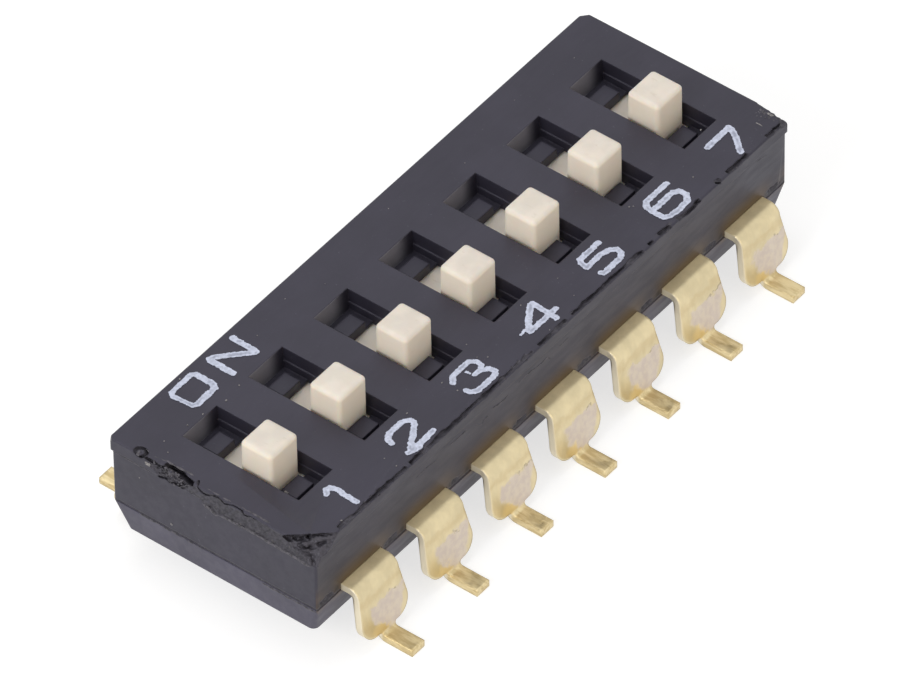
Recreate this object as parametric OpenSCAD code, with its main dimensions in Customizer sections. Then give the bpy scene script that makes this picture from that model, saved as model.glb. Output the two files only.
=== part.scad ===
// Slide switch array in a low surface-mount housing with two rows of solder leads.
// Millimetres. +X runs along the row from switch 1, +Y is the ON side, +Z is up.
// The origin lies on the plane of the solder feet, under the middle of the housing.

/* [Row] */
// Number of switches in the row
positions = 7; // [2:1:12]
// Distance from one switch to the next
pitch = 2.54; // [2.4:0.01:3.2]

/* [Housing] */
// Width of the housing across its side walls
housing_w = 6.26; // [6:0.02:6.6]
// Height of the cover from the parting line to the deck
cover_h = 2.14; // [2.05:0.01:2.6]
// Height of the base below the parting line
base_h = 0.85; // [0.7:0.01:1.2]
// Gap between the base and the board
standoff = 0.84; // [0.7:0.01:1.1]
// Thickness of the cover's side walls
side_wall = 0.68; // [0.55:0.01:0.8]
// Thickness of the cover's end walls
end_wall = 0.86; // [0.7:0.01:1.2]
// Width of the cell that each slider's plate runs in, along the row
cell_w = 1.70; // [1.6:0.01:1.9]
// Radius of the housing's upright corners
corner_r = 0.06; // [0.04:0.01:0.3]
// How far the lip round the deck stands out from the walls
lip_out = 0.06; // [0.03:0.01:0.12]
// Height of the lip
lip_h = 0.44; // [0.3:0.01:0.6]
// Width of the small bevel on the deck's edges
edge_break = 0.03; // [0.01:0.005:0.06]
// How far the base's number side leans in at the bottom
number_side_lean = 0.18; // [0.1:0.01:0.35]
// How far the base's ON side leans in at the bottom
on_side_lean = 0.27; // [0.1:0.01:0.35]
// How far the base's ends lean in at the bottom
end_lean = 0.11; // [0.02:0.01:0.2]
// Radius of the base's corners at the bottom
base_corner_r = 0.18; // [0.06:0.01:0.3]

/* [Windows] */
// Length of a window, across the housing
window_l = 3.57; // [3.5:0.01:3.7]
// Width of a window at the deck
window_w = 1.31; // [1.29:0.01:1.4]
// Width of the small step in a window's side walls
window_step = 0.025; // [0.01:0.005:0.03]
// How far a window's end walls lean in at its lower end
window_lean = 0.08; // [0.02:0.01:0.12]
// Depth of a window, down to the plates of the sliders
window_depth = 0.72; // [0.6:0.01:0.8]
// Distance from a window's middle to the stops at its two ends
stop_y = 0.98; // [0.9:0.01:1.0]
// Width of a stop, along the row
stop_w = 0.66; // [0.4:0.01:0.8]
// Length of a stop, across the housing
stop_l = 0.47; // [0.3:0.01:0.6]
// Depth of a stop's top, and of the step in the side walls, below the deck
stop_depth = 0.41; // [0.3:0.01:0.45]
// Thickness of the shelf that carries a stop at the window's end
shelf_t = 0.08; // [0.06:0.01:0.15]

/* [Sliders] */
// Width of a knob, along the row
knob_w = 1.07; // [0.8:0.01:1.18]
// Length of a knob, along its travel
knob_l = 0.98; // [0.8:0.01:1.1]
// Height of a knob above the deck
knob_h = 0.75; // [0.4:0.01:1.2]
// Radius of a knob's rounded edges
knob_r = 0.12; // [0.06:0.01:0.2]
// How much narrower a knob is at its top, on each side
knob_draft = 0.005; // [0:0.005:0.05]
// Thickness of the plate that closes the window from below
plate_t = 0.40; // [0.3:0.01:0.45]
// Length of that plate
plate_l = 3.16; // [3.0:0.02:3.6]

/* [Contacts] */
// Thickness of the wiper's spring sheet
wiper_t = 0.08; // [0.06:0.01:0.1]
// Width of the wiper
wiper_w = 0.90; // [0.7:0.01:1.0]
// Width of the slit between the two prongs of a wiper's arm
wiper_slit = 0.16; // [0.1:0.01:0.25]
// Distance between the contact points of a wiper's two arms
wiper_span = 2.40; // [2.3:0.01:2.5]
// Slope of a wiper's arms, in degrees
wiper_slope = 45; // [42:1:50]
// Inside radius of a wiper's bends
wiper_r = 0.11; // [0.08:0.01:0.15]
// Length of the upturned end of a wiper's arm
wiper_end = 0.12; // [0.05:0.01:0.2]
// Depth of the channel in the slider's plate that the wiper lies in
wiper_seat = 0.06; // [0.03:0.01:0.1]
// Diameter of the peg that holds the wiper
peg_d = 0.30; // [0.24:0.01:0.36]
// Diameter of that peg's flattened head
peg_head_d = 0.50; // [0.45:0.01:0.6]
// Thickness of that peg's head
peg_head_t = 0.07; // [0.05:0.01:0.1]
// Gap between the inner ends of a pair of contact blades
blade_gap = 1.54; // [1.45:0.01:1.6]
// Distance of that gap's middle from the housing's middle, on the ON side
blade_gap_shift = 0.33; // [0.3:0.01:0.38]
// Width of a contact blade inside the housing
blade_w = 1.10; // [0.9:0.01:1.2]

/* [Leads] */
// Thickness of the lead sheet
lead_t = 0.20; // [0.15:0.01:0.22]
// Width of a lead where it leaves the housing
lead_w = 1.54; // [1.4:0.01:1.6]
// Length of the wide root of a lead inside the housing wall
root_l = 0.25; // [0.1:0.01:0.4]
// Width of a lead at its widest, above the foot
shoulder_w = 1.75; // [1.7:0.01:1.9]
// Height of the widest place above the board
shoulder_z = 0.75; // [0.7:0.01:0.85]
// Radius of the two round lobes below the widest place
lobe_r = 0.46; // [0.4:0.01:0.5]
// Width of the narrow foot that is soldered
toe_w = 0.48; // [0.4:0.01:0.6]
// Radius of the hollow corners between the lobes and the foot
neck_r = 0.10; // [0.05:0.01:0.12]
// Distance from the housing's middle to the tip of a foot
lead_reach = 4.85; // [4.6:0.01:5.3]
// Distance from the housing's middle to the start of the upper bend
lead_knee = 3.35; // [3.35:0.01:3.45]
// Outward lean of the lead below its upper bend, in degrees
lead_lean = 11.3; // [5:0.1:15]
// Inside radius of the upper bend
knee_r = 0.12; // [0.04:0.01:0.14]
// Inside radius of the lower bend
ankle_r = 0.12; // [0.08:0.01:0.2]

/* [Fits] */
// Running gap on each side of what slides
run_gap = 0.03; // [0.02:0.005:0.04]
// Gap left at each end of the travel, and under the contact points
stop_gap = 0.01; // [0.005:0.005:0.02]
// Gap round what is dropped or pushed into place
seat_gap = 0.02; // [0.01:0.005:0.04]
// Diameter of the four pegs that hold the cover to the base
rivet_d = 0.40; // [0.3:0.01:0.45]
// Height of those pegs above the parting line
rivet_h = 0.90; // [0.6:0.01:1.2]
// Distance between the two pegs at one end
rivet_spread = 3.60; // [2:0.1:4]
// Diameter of the holes under the contact blades, where moulding pins held them
pin_hole_d = 0.50; // [0.4:0.01:0.6]
// Distance of those holes from the housing's middle
pin_hole_y = 1.90; // [1.7:0.01:2.1]

/* [Hidden] */
$fn = 48;
hull_fn = 32;
over = 1; // how far a cutting shape runs past the face that it cuts
skin = 0.01; // thickness of the two slabs that a leaning block is drawn between
lap = 0.2; // how far, in degrees, a bend runs into the straight runs beside it

part_z = standoff + base_h; // parting line between base and cover
pad_z = part_z + lead_t; // top of the contact blades and of the pads round them
deck_z = part_z + cover_h;
roof_z = deck_z - window_depth; // roof of the cells, and underside of the stops
plate_top_z = roof_z - run_gap;
plate_z = plate_top_z - plate_t;

cover_l = (positions - 1) * pitch + cell_w + 2 * end_wall;
cell_l = housing_w - 2 * side_wall;
stroke = 2 * (stop_y - stop_gap) - knob_l;
plate_w = cell_w - 2 * run_gap;
rivet_x = (cover_l - end_wall) / 2;

// How far each slider stands from its OFF stop at rest, for the first seven switches
rest_plays = [0.11, 0.02, 0, 0.01, 0, 0.03, 0.10];
function rest_play(i) = i <= len(rest_plays) ? rest_plays[i - 1] : 0;
function place(i) = (i - (positions + 1) / 2) * pitch;
function slider_y(i) = rest_play(i) - stroke / 2;

// --- Helpers ---

// Stands a drawing of the Y-Z plane up and extrudes it along X.
module along_x(width) {
    rotate([90, 0, 90]) linear_extrude(width, center = true) children();
}

// Stands a drawing of the X-Z plane up and extrudes it along Y.
module along_y(width) {
    rotate([90, 0, 0]) linear_extrude(width, center = true) children();
}

// A rectangle with round corners, centred.
module round_rectangle(length, width, r) {
    square([length - 2 * r, width], center = true);
    square([length, width - 2 * r], center = true);
    for (sx = [-1, 1], sy = [-1, 1])
        translate([sx * (length / 2 - r), sy * (width / 2 - r)]) circle(r);
}

// A ring's sector of less than 180 degrees, from angle start, turning left.
module ring_sector(inner_r, outer_r, start, turn) {
    far = 2 * outer_r;
    intersection() {
        difference() {
            circle(outer_r);
            circle(inner_r);
        }
        polygon([
            [0, 0],
            far * [cos(start), sin(start)],
            far * [cos(start + turn / 2), sin(start + turn / 2)],
            far * [cos(start + turn), sin(start + turn)]
        ]);
    }
}

// Bent sheet seen from its edge. It starts along +X with its lower face on the X axis.
// Each step is [straight run, turn in degrees, inside radius]; a positive turn is upwards.
module bent_sheet(t, steps, k = 0) {
    run = steps[k][0];
    turn = steps[k][1];
    r = steps[k][2];
    square([run, t]);
    if (turn > 0)
        translate([run, t + r]) {
            ring_sector(r, r + t, 270 - lap, turn + 2 * lap);
            rotate(turn) translate([0, -t - r]) bent_sheet(t, steps, k + 1);
        }
    if (turn < 0)
        translate([run, -r]) {
            ring_sector(r, r + t, 90 + turn - lap, 2 * lap - turn);
            rotate(turn) translate([0, r]) bent_sheet(t, steps, k + 1);
        }
}

// --- Cover ---

// The lip seen from its end: bevelled at the deck and on its underside.
module lip_section(width) {
    w = width / 2;
    polygon([
        [-w, deck_z - lip_h],
        [-w - lip_out, deck_z - lip_h + lip_out],
        [-w - lip_out, deck_z - edge_break],
        [-w - lip_out + edge_break, deck_z],
        [w + lip_out - edge_break, deck_z],
        [w + lip_out, deck_z - edge_break],
        [w + lip_out, deck_z - lip_h + lip_out],
        [w, deck_z - lip_h]
    ]);
}

module cover_block() {
    translate([0, 0, part_z]) linear_extrude(cover_h - lip_h)
        round_rectangle(cover_l, housing_w, corner_r);
    intersection() {
        along_x(cover_l + 2 * over) lip_section(housing_w);
        along_y(housing_w + 2 * over) lip_section(cover_l);
        translate([0, 0, part_z]) linear_extrude(cover_h + over)
            round_rectangle(cover_l + 2 * lip_out, housing_w + 2 * lip_out, corner_r + lip_out);
    }
}

// The window's long section: upright to the deck, leaning in towards the cell.
module window_section() {
    half = window_l / 2;
    polygon([
        [-half, deck_z + over],
        [-half, deck_z],
        [-half + window_lean, roof_z],
        [-half + window_lean, roof_z - run_gap],
        [half - window_lean, roof_z - run_gap],
        [half - window_lean, roof_z],
        [half, deck_z],
        [half, deck_z + over]
    ]);
}

module window() {
    along_x(window_w - 2 * window_step) window_section();
    intersection() {
        along_x(window_w) window_section();
        translate([-window_w, -window_l, deck_z - stop_depth])
            cube([2 * window_w, 2 * window_l, stop_depth + over]);
    }
}

// The thin shelves at a window's two ends, each with a raised block that stops the knob.
module stops() {
    shelf_l = window_l / 2 - stop_y;
    for (side = [0, 1]) mirror([0, side, 0]) translate([0, stop_y, roof_z]) {
        translate([-window_w / 2, 0, 0]) cube([window_w, shelf_l, shelf_t]);
        translate([-stop_w / 2, 0, 0]) cube([stop_w, stop_l, window_depth - stop_depth]);
    }
}

module cell() {
    translate([-cell_w / 2, -cell_l / 2, part_z - over])
        cube([cell_w, cell_l, roof_z - part_z + over]);
}

// Notches under the side walls, where the leads come out.
module lead_notches() {
    width = lead_w + 2 * seat_gap;
    translate([-width / 2, -housing_w, part_z - over])
        cube([width, 2 * housing_w, lead_t + seat_gap + over]);
}

module at_rivets() {
    for (sx = [-1, 1], sy = [-1, 1])
        translate([sx * rivet_x, sy * rivet_spread / 2, part_z]) children();
}

module cover() {
    color("#2c2c31") difference() {
        union() {
            difference() {
                cover_block();
                for (i = [1:positions]) translate([place(i), 0, 0]) window();
            }
            for (i = [1:positions]) translate([place(i), 0, 0]) stops();
        }
        for (i = [1:positions]) translate([place(i), 0, 0]) {
            cell();
            lead_notches();
        }
        at_rivets() translate([0, 0, -over])
            cylinder(d = rivet_d + 2 * seat_gap, h = rivet_h + seat_gap + over);
    }
}

// --- Base ---

// The base block as it is moulded: its sides lean in and its corners grow rounder towards the bottom.
module base_block() {
    foot_l = cover_l - 2 * end_lean;
    foot_w = housing_w - number_side_lean - on_side_lean;
    hull() {
        translate([0, 0, part_z - skin]) linear_extrude(skin)
            round_rectangle(cover_l, housing_w, corner_r, $fn = hull_fn);
        translate([0, (number_side_lean - on_side_lean) / 2, standoff]) linear_extrude(skin)
            round_rectangle(foot_l, foot_w, base_corner_r, $fn = hull_fn);
    }
}

// The raised pad that fills a cell's mouth, flush with the contact blades.
module pad() {
    length = cell_l - 2 * seat_gap;
    width = cell_w - 2 * seat_gap;
    translate([-width / 2, -length / 2, part_z - base_h / 2]) cube([width, length, base_h / 2 + lead_t]);
}

module base() {
    color("#2c2c31") difference() {
        union() {
            base_block();
            for (i = [1:positions]) translate([place(i), 0, 0]) pad();
            at_rivets() translate([0, 0, -base_h / 2]) cylinder(d = rivet_d, h = base_h / 2 + rivet_h);
        }
        for (i = [1:positions]) translate([place(i), 0, 0]) {
            for (side = [-1, 1]) {
                translate([0, 0, part_z]) linear_extrude(lead_t + over) blade_outline(side);
                translate([0, side * pin_hole_y, 0]) cylinder(d = pin_hole_d, h = pad_z);
            }
        }
    }
}

// --- Leads ---

// Distance of a blade's inner end from the housing's middle, counted outwards on its own side.
function blade_start(side) = side * blade_gap_shift + blade_gap / 2;

// A lead's flat inner part seen from above: a wide root in the wall and a narrower blade.
module blade_outline(side) {
    root = cell_l / 2 - root_l;
    mirror([0, side < 0 ? 1 : 0, 0]) {
        translate([-blade_w / 2, blade_start(side)]) square([blade_w, lead_knee - blade_start(side)]);
        translate([-lead_w / 2, root]) square([lead_w, lead_reach - root + over]);
    }
}

// A lead seen from its edge, outwards from the blade's inner end.
module lead_section(side) {
    turn = 90 - lead_lean;
    drop = (knee_r + lead_t + ankle_r) * (1 - cos(turn));
    leg = (part_z - drop) / sin(turn);
    out = (knee_r + lead_t + ankle_r) * sin(turn) + leg * cos(turn);
    translate([blade_start(side), part_z]) bent_sheet(lead_t, [
        [lead_knee - blade_start(side), -turn, knee_r],
        [leg, turn, ankle_r],
        [lead_reach - lead_knee - out, 0, 0]
    ]);
}

// A lead seen from outside: it widens downwards, ends in two round lobes and leaves a narrow foot.
module lead_front() {
    lobe_x = shoulder_w / 2 - lobe_r;
    lobe_z = shoulder_z - lobe_r;
    polygon([
        [-lead_w / 2, pad_z + over],
        [-lead_w / 2, part_z - knee_r],
        [-shoulder_w / 2, shoulder_z],
        [shoulder_w / 2, shoulder_z],
        [lead_w / 2, part_z - knee_r],
        [lead_w / 2, pad_z + over]
    ]);
    translate([-lobe_x, lobe_z]) square([2 * lobe_x, lobe_r]);
    for (sx = [-1, 1]) {
        translate([sx * lobe_x, shoulder_z]) circle(lobe_r);
        difference() {
            translate([sx * (toe_w + neck_r) / 2, lobe_z]) square([neck_r, 2 * neck_r], center = true);
            translate([sx * (toe_w / 2 + neck_r), lobe_z - neck_r]) circle(neck_r);
        }
    }
    translate([-toe_w / 2, -over]) square([toe_w, shoulder_z + over]);
}

module lead(side) {
    color("#d9c58a") mirror([0, side < 0 ? 1 : 0, 0]) intersection() {
        along_x(2 * shoulder_w) lead_section(side);
        along_y(4 * housing_w) lead_front();
        union() {
            translate([0, 0, part_z - knee_r]) linear_extrude(lead_t + over)
                mirror([0, side < 0 ? 1 : 0, 0]) blade_outline(side);
            translate([-shoulder_w, lead_knee, -over]) cube([2 * shoulder_w, lead_reach, pad_z + 2 * over]);
        }
    }
}

// --- Sliders ---

module knob() {
    x = knob_w / 2 - knob_r;
    y = knob_l / 2 - knob_r;
    top = deck_z + knob_h - knob_r;
    hull() for (sx = [-1, 1], sy = [-1, 1]) {
        translate([sx * x, sy * y, plate_top_z - plate_t / 4])
            cylinder(r = knob_r, h = plate_t / 2, $fn = hull_fn);
        translate([sx * (x - knob_draft), sy * (y - knob_draft), top]) sphere(knob_r, $fn = hull_fn);
    }
}

// The plate below the knob, with a channel and a peg for the wiper.
module plate() {
    difference() {
        translate([-plate_w / 2, -plate_l / 2, plate_z]) cube([plate_w, plate_l, plate_t]);
        translate([-wiper_w / 2 - seat_gap, -plate_l, plate_z - over])
            cube([wiper_w + 2 * seat_gap, 2 * plate_l, wiper_seat + over]);
    }
    translate([0, 0, plate_z + wiper_seat - wiper_t - peg_head_t]) {
        cylinder(d = peg_head_d, h = peg_head_t);
        cylinder(d = peg_d, h = peg_head_t + wiper_t + plate_t / 4);
    }
}

module slider(i) {
    color("#e9e0d2") translate([place(i), slider_y(i), 0]) {
        plate();
        knob();
    }
}

// --- Wipers ---

// Half of a wiper seen from its edge, from its middle outwards.
module wiper_section() {
    top = plate_z + wiper_seat;
    fall = top - wiper_t - pad_z - stop_gap;
    bends = 2 * wiper_r + wiper_t;
    arm = (fall - bends * (1 - cos(wiper_slope))) / sin(wiper_slope);
    middle = wiper_span / 2 - bends * sin(wiper_slope) - arm * cos(wiper_slope);
    translate([0, top - wiper_t]) bent_sheet(wiper_t, [
        [middle, -wiper_slope, wiper_r],
        [arm, 2 * wiper_slope, wiper_r],
        [wiper_end, 0, 0]
    ]);
}

module wiper(i) {
    slit_start = peg_head_d / 2 + seat_gap;
    color("#dcc07a") translate([place(i), slider_y(i), 0]) difference() {
        union() {
            along_x(wiper_w) wiper_section();
            mirror([0, 1, 0]) along_x(wiper_w) wiper_section();
        }
        for (side = [0, 1]) mirror([0, side, 0])
            translate([-wiper_slit / 2, slit_start, 0]) cube([wiper_slit, wiper_span, deck_z]);
        cylinder(d = peg_d + 2 * seat_gap, h = deck_z);
    }
}

// --- Parts ---

cover();
base();
for (i = [1:positions]) {
    slider(i);
    wiper(i);
    translate([place(i), 0, 0]) lead(-1);
    translate([place(i), 0, 0]) lead(1);
}
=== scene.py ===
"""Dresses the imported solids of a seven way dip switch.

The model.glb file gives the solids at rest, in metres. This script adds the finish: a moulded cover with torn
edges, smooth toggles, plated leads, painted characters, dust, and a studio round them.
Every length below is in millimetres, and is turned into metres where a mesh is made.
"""

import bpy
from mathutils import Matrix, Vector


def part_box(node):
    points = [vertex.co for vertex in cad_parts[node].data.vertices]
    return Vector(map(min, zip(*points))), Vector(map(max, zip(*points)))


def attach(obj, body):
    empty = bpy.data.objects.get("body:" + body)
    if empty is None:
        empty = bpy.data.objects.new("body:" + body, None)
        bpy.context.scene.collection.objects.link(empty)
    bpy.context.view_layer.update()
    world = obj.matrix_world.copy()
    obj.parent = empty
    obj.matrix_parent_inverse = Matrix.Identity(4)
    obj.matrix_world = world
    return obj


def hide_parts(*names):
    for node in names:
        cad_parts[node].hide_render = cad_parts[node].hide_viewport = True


bl_info = {
    "name": "Dip Switch Finish",
    "version": (1, 0, 0),
    "blender": (4, 5, 0),
    "location": "View3D > Sidebar > Dip Switch",
    "description": "Moulded cover, toggles, plated leads, painted characters and studio for a dip switch",
    "category": "Object",
}

import bmesh
import bpy
import numpy as np
from bpy.props import FloatProperty, FloatVectorProperty, PointerProperty
from mathutils import Matrix

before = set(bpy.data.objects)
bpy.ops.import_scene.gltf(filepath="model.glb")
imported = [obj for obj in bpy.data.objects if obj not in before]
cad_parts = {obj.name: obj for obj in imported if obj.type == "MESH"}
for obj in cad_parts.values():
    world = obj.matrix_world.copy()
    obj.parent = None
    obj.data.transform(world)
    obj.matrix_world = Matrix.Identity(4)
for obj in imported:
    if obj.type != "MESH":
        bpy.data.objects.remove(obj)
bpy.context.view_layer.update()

MM = 0.001
PITCH = 2.54
COUNT = 7
LATTICE = 64  # places to a side of the table of random heights, after which it repeats
SHARP = 32  # degrees between two faces, from which their edge is drawn sharp


def box_mm(node):
    """The lowest and highest corner of a solid, in millimetres."""
    return tuple(np.array(corner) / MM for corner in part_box(node))


COVER_LOW, COVER_HIGH = box_mm("cover")
DECK_Z = float(COVER_HIGH[2])
PARTING_Z = float(COVER_LOW[2])
END_X = float(COVER_HIGH[0])
SIDE_Y = float(COVER_HIGH[1])
LIP = 0.06
LEADS = [f"{side}_side_lead_{i}" for side in ("number", "on") for i in range(1, COUNT + 1)]
SLIDERS = [f"slider_{i}" for i in range(1, COUNT + 1)]
WIPERS = [f"wiper_{i}" for i in range(1, COUNT + 1)]


def tone(red, green, blue):
    """A screen colour from 0 to 255 as linear light."""
    c = np.array([red, green, blue]) / 255
    return tuple(np.where(c <= 0.04045, c / 12.92, ((c + 0.055) / 1.055) ** 2.4).tolist())


# ---------------------------------------------------------------- sizes and colours


class DipSwitchFinish(bpy.types.PropertyGroup):
    """Sizes and colours of the finish."""

    tear_depth: FloatProperty(
        name="Tear depth",
        description="How strongly the torn edges of the cover are cut, 1 is full depth",
        default=1.0,
        min=0.0,
        max=1.5,
        subtype="FACTOR",
    )
    lead_edge: FloatProperty(
        name="Lead edge",
        description="Width of the rounded edges of the stamped leads",
        default=0.045 * MM,
        unit="LENGTH",
        precision=6,
    )
    paint_height: FloatProperty(
        name="Paint height",
        description="How far the characters stand above the deck",
        default=0.006 * MM,
        unit="LENGTH",
        precision=6,
    )
    black: FloatVectorProperty(
        name="Housing",
        description="Moulded black plastic of the cover and base",
        default=tone(42, 40, 50),
        subtype="COLOR",
    )
    torn: FloatVectorProperty(
        name="Torn plastic",
        description="Dull plastic where the cover is torn or chipped",
        default=tone(58, 56, 62),
        subtype="COLOR",
    )
    cream: FloatVectorProperty(
        name="Toggle",
        description="Cream plastic of the toggles",
        default=tone(233, 224, 212),
        subtype="COLOR",
    )
    gold: FloatVectorProperty(
        name="Plating",
        description="Pale gold plating of the leads",
        default=tone(219, 204, 166),
        subtype="COLOR",
    )
    brass: FloatVectorProperty(
        name="Wiper",
        description="Bare brass of the sliding contacts",
        default=tone(196, 160, 96),
        subtype="COLOR",
    )
    paint: FloatVectorProperty(
        name="Characters",
        description="Bluish white paint of the numbers and the word ON",
        default=tone(206, 212, 232),
        subtype="COLOR",
    )


# ---------------------------------------------------------------- surfaces


def value_noise(u, v, cell, seed):
    """Random heights from -1 to 1 on a square lattice of that cell, blended by the ease 3t^2 - 2t^3."""
    table = np.random.default_rng(seed).uniform(-1, 1, (LATTICE, LATTICE))
    a, b = u / cell, v / cell
    i, j = np.floor(a).astype(int), np.floor(b).astype(int)
    s, t = a - i, b - j
    s, t = s * s * (3 - 2 * s), t * t * (3 - 2 * t)

    def pick(p, q):
        """The heights at those places of the table, which repeats."""
        return table[p % LATTICE, q % LATTICE]

    low = pick(i, j) * (1 - s) + pick(i + 1, j) * s
    high = pick(i, j + 1) * (1 - s) + pick(i + 1, j + 1) * s
    return low * (1 - t) + high * t


def wave(along, cell, seed):
    """Random heights from -1 to 1 that change in one direction only."""
    return value_noise(along, 0 * along, cell, seed)


def grain(u, v, cell, seed, octaves=3):
    """Value noise summed over octaves, each with half the cell and half the height of the one before."""
    return sum(value_noise(u, v, cell / 2**k, seed + k) / 2**k for k in range(octaves))


def distance_to(u, v, path):
    """Distance from each point (u, v) to a broken line: the least distance to its straight stretches."""
    path = np.asarray(path, float)
    start, step = path[:-1], np.diff(path, axis=0)
    du, dv = u[..., None] - start[:, 0], v[..., None] - start[:, 1]
    t = np.clip((du * step[:, 0] + dv * step[:, 1]) / (step**2).sum(axis=1), 0, 1)
    return np.hypot(du - t * step[:, 0], dv - t * step[:, 1]).min(axis=-1)


def groove(u, v, path, half, deep):
    """Depth of a groove along a broken line: a parabola across it, 0 at the half width and less outside."""
    return deep * (1 - (distance_to(u, v, path) / half) ** 2)


def oval(u, v, centre, half, wobble=0.0):
    """1 at the centre of an oval, 0 on its rim and less outside."""
    return 1 + wobble - ((u - centre[0]) / half[0]) ** 2 - ((v - centre[1]) / half[1]) ** 2


def grid_faces(rows, columns, closed=False):
    """The corners of each cell of a grid of points, four to a row.

    A closed grid joins its last column to its first.
    """
    r, c = np.meshgrid(np.arange(rows - 1), np.arange(columns - (0 if closed else 1)), indexing="ij")
    after = (c + 1) % columns
    corners = [r * columns + c, r * columns + after, (r + 1) * columns + after, (r + 1) * columns + c]
    return np.stack(corners, -1).reshape(-1, 4)


def tube_faces(rows, columns):
    """The faces of a closed grid and of both its ends."""
    first = np.arange(columns)[None]
    return [grid_faces(rows, columns, closed=True), first[:, ::-1], (rows - 1) * columns + first]


def make_mesh(name, points, *polygons):
    """A mesh from points, in the units they are given in, and arrays of faces."""
    mesh = bpy.data.meshes.new(name)
    faces = [face for block in polygons for face in np.asarray(block).tolist()]
    mesh.from_pydata((np.asarray(points).reshape(-1, 3)).tolist(), [], faces)
    mesh.update()
    return mesh


def link(name, mesh):
    """An object at the origin with that mesh."""
    piece = bpy.data.objects.new(name, mesh)
    bpy.context.scene.collection.objects.link(piece)
    return piece


def outward(mesh):
    """Turns every face of closed shells outwards."""
    bm = bmesh.new()
    bm.from_mesh(mesh)
    bmesh.ops.recalc_face_normals(bm, faces=bm.faces)
    bm.to_mesh(mesh)
    bm.free()


def shade(mesh, angle, flat_slot=-1):
    """Smooth faces with sharp edges where two faces meet at more than that angle, in degrees.

    Faces of the flat slot stay flat.
    """
    slots = np.zeros(len(mesh.polygons), np.int32)
    mesh.polygons.foreach_get("material_index", slots)
    mesh.polygons.foreach_set("use_smooth", slots != flat_slot)
    mesh.set_sharp_from_angle(angle=np.radians(angle))


def merged_copy(node, name, scale=1.0):
    """A copy of a solid's mesh, in millimetres times scale, with its triangles joined to whole faces."""
    bm = bmesh.new()
    bm.from_mesh(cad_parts[node].data)
    bm.transform(Matrix.Scale(1 / MM, 4))
    bmesh.ops.remove_doubles(bm, verts=bm.verts, dist=2e-4)
    bmesh.ops.dissolve_degenerate(bm, edges=bm.edges, dist=1e-5)
    bmesh.ops.dissolve_limit(bm, angle_limit=np.radians(0.5), verts=bm.verts, edges=bm.edges)
    points = np.array([v.co[:] for v in bm.verts]) * scale
    faces = [[v.index for v in face.verts] for face in bm.faces]
    bm.free()
    mesh = bpy.data.meshes.new(name)
    mesh.from_pydata(points.tolist(), [], faces)
    mesh.update()
    return mesh


def combine(piece, tools, operation):
    """Adds or removes closed shells, and gives the piece the finished mesh."""
    for tool in tools:
        step = piece.modifiers.new(tool.name, "BOOLEAN")
        step.operation = operation
        step.object = tool
        step.solver = "EXACT"
        step.material_mode = "TRANSFER"
    bpy.context.view_layer.update()
    result = bpy.data.meshes.new_from_object(piece.evaluated_get(bpy.context.evaluated_depsgraph_get()))
    piece.modifiers.clear()
    piece.data = result
    for tool in tools:
        bpy.data.objects.remove(tool)


def shell_to(apex, name, points):
    """A closed shell: a grid of points whose whole rim runs to one point, the apex."""
    rows, columns = points.shape[:2]
    index = np.arange(rows * columns).reshape(rows, columns)
    rim = np.concatenate([index[0, :-1], index[:-1, -1], index[-1, :0:-1], index[:0:-1, 0]])
    fan = np.stack([np.roll(rim, -1), rim, np.full(len(rim), rows * columns)], -1)
    whole = np.vstack([points.reshape(-1, 3), apex])
    shell = link(name, make_mesh(name, whole, grid_faces(rows, columns), fan))
    outward(shell.data)
    return shell


# ---------------------------------------------------------------- tears in the cover

GAP = 0.03  # how far a cutter stays off whole surfaces
# Unrolled places on the end wall: (along the wall, past the corner on to the deck, or minus the drop)
CRACK = [
    (-1.75, -0.03), (-1.55, -0.05), (-1.2, -0.02), (-1.05, -0.08), (-0.98, -0.1), (-0.93, 0.01),
    (-0.77, 0.02), (-0.63, 0.02), (-0.47, -0.05), (-0.37, -0.09), (-0.27, -0.03), (-0.18, 0.01),
    (-0.02, -0.01), (0.07, -0.07), (0.2, -0.12), (0.33, -0.08), (0.42, -0.03), (0.47, 0.08), (0.52, 0.17),
]
PIT = [(0.66, -0.01), (0.84, 0.03), (0.98, 0.09), (1.16, 0.12), (1.4, 0.11)]
TRENCH = [(1.4, 0.03), (1.6, -0.02), (1.8, -0.02), (2.02, 0.0)]
UNDERCUT = [(1.0, -0.33), (1.18, -0.37), (1.35, -0.43), (1.45, -0.36), (1.68, -0.43)]
# Stretches of the number side's edge without a groove: middle and half length
UNTORN = [
    (-8.62, 0.2), (-5.75, 0.07), (-0.75, 0.12), (0.6, 0.1), (3.63, 0.13),
    (4.06, 0.12), (4.75, 0.14), (6.12, 0.34), (6.80, 0.14), (8.15, 0.38),
]
# Gashes across that edge: the line, unrolled as above, and its half width and depth
SIDE_GASHES = [([(5.66, 0.04), (5.76, -0.03)], 0.05, 0.15), ([(6.50, 0.05), (6.58, -0.03)], 0.045, 0.14)]
BITE_SHIFT = 1.38  # from the middle of a lead to the bite beside it
# Gashes in the near chip, in its own plane: the line, its half width and its depth
CHIP_GASHES = [
    ([(-0.62, 0.04), (-0.46, 0.06), (-0.28, 0.09), (-0.1, 0.04)], 0.085, 0.17),
    ([(-0.1, 0.04), (0.2, 0.02), (0.48, 0.03)], 0.035, 0.09),
    ([(-0.3, 0.24), (-0.14, 0.32), (0.05, 0.27), (0.28, 0.2)], 0.06, 0.09),
    ([(-0.46, 0.28), (-0.1, 0.48), (0.04, 0.54)], 0.03, 0.035),
    ([(-0.02, 0.57), (0.0, 0.76)], 0.05, 0.06),
]


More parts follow.
